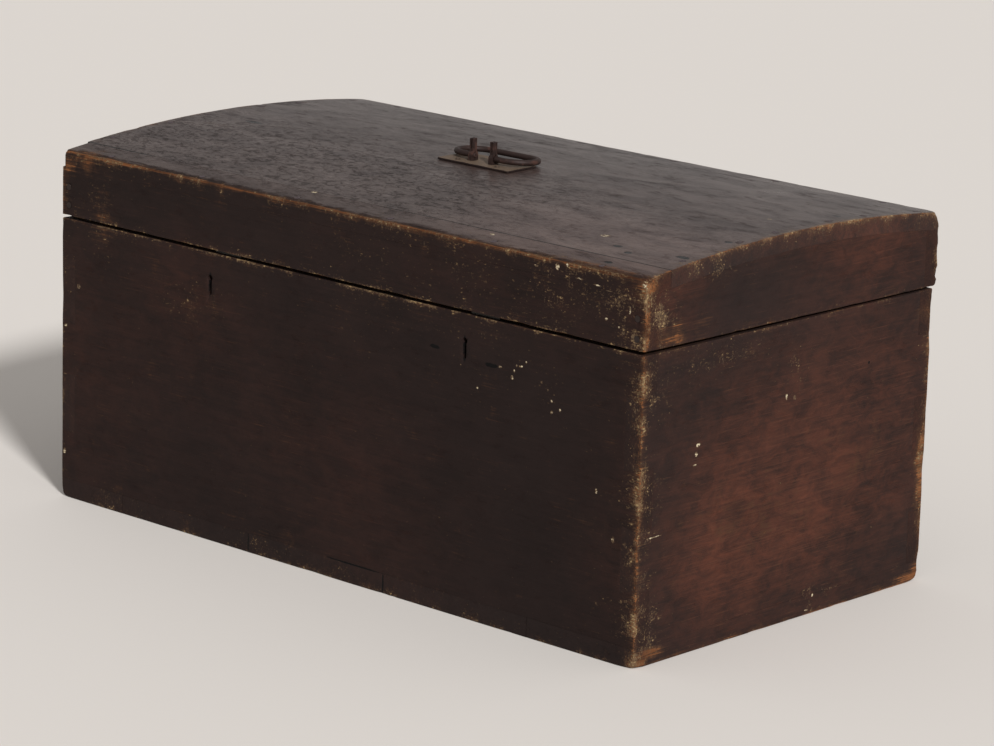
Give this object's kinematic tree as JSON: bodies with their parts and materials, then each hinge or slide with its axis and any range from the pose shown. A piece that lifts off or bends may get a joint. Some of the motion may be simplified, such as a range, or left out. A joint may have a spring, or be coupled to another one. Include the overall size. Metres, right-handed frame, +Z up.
{
  "type": "storage chest",
  "caption": "Low arched-top storage chest of dark painted pine boards, dovetailed at the corners, with a hinged lid, keyed locks and a swinging iron bail handle on top.",
  "frame": {"origin": "on the floor, under the middle of the box, without the lid's overhang at the back", "axes": "+X along the length to the right, seen from the front; +Y to the back; +Z up"},
  "size_m": [1, 0.551, 0.5158],
  "materials": {
    "painted_pine": "worn dark brown paint on pine",
    "bottom_pine": "sawn pine, painted at its edges",
    "wrought_iron": "forged, dark, rusty",
    "lock_iron": "sheet iron, dark",
    "nail_iron": "cut nails, rusty"
  },
  "bodies": {
    "box": {"back_board": "painted_pine", "bottom_board_1": "bottom_pine", "bottom_board_2": "bottom_pine", "bottom_board_3": "bottom_pine", "bottom_board_4": "bottom_pine", "bottom_board_5": "bottom_pine", "bottom_nails": "nail_iron", "front_board": "painted_pine", "hinge_box_nails": "nail_iron", "left_end_board": "painted_pine", "left_hinge_lower_strap": "wrought_iron", "left_hinge_pin": "wrought_iron", "left_lock_case": "lock_iron", "left_lock_spring": "lock_iron", "lock_nails": "nail_iron", "right_end_board": "painted_pine", "right_hinge_lower_strap": "wrought_iron", "right_hinge_pin": "wrought_iron", "right_lock_case": "lock_iron", "right_lock_spring": "lock_iron"},
    "lid": {"handle_left_lug": "wrought_iron", "handle_nails": "nail_iron", "handle_plate": "wrought_iron", "handle_right_lug": "wrought_iron", "handle_roves": "wrought_iron", "hinge_lid_nails": "nail_iron", "left_hinge_upper_strap": "wrought_iron", "left_lock_strike": "lock_iron", "lid_back_rail": "painted_pine", "lid_corner_nails": "nail_iron", "lid_front_rail": "painted_pine", "lid_front_strip": "painted_pine", "lid_left_end": "painted_pine", "lid_right_end": "painted_pine", "lid_top_board_1": "painted_pine", "lid_top_board_2": "painted_pine", "lid_top_board_3": "painted_pine", "lid_top_nails": "nail_iron", "right_hinge_upper_strap": "wrought_iron", "right_lock_strike": "lock_iron", "strike_nails": "nail_iron"},
    "bail": {"handle_bail": "wrought_iron"},
    "left_bolt": {"left_lock_bolt": "lock_iron"},
    "right_bolt": {"right_lock_bolt": "lock_iron"}
  },
  "joints": [
    {"name": "lid_hinge", "type": "hinge", "parent": "box", "child": "lid", "pos_m": [0, 0.2735, 0.3775], "axis": [-1, 0, 0], "range_deg": [0, 104]},
    {"name": "bail_swing", "type": "hinge", "parent": "lid", "child": "bail", "pos_m": [-0.015, 0.005, 0.49426], "axis": [1, 0, 0], "range_deg": [0, 172]},
    {"name": "left_bolt_slide", "type": "slide", "parent": "box", "child": "left_bolt", "axis": [1, 0, 0], "range_m": [0, 0.012]},
    {"name": "right_bolt_slide", "type": "slide", "parent": "box", "child": "right_bolt", "axis": [1, 0, 0], "range_m": [0, 0.012]}
  ]
}
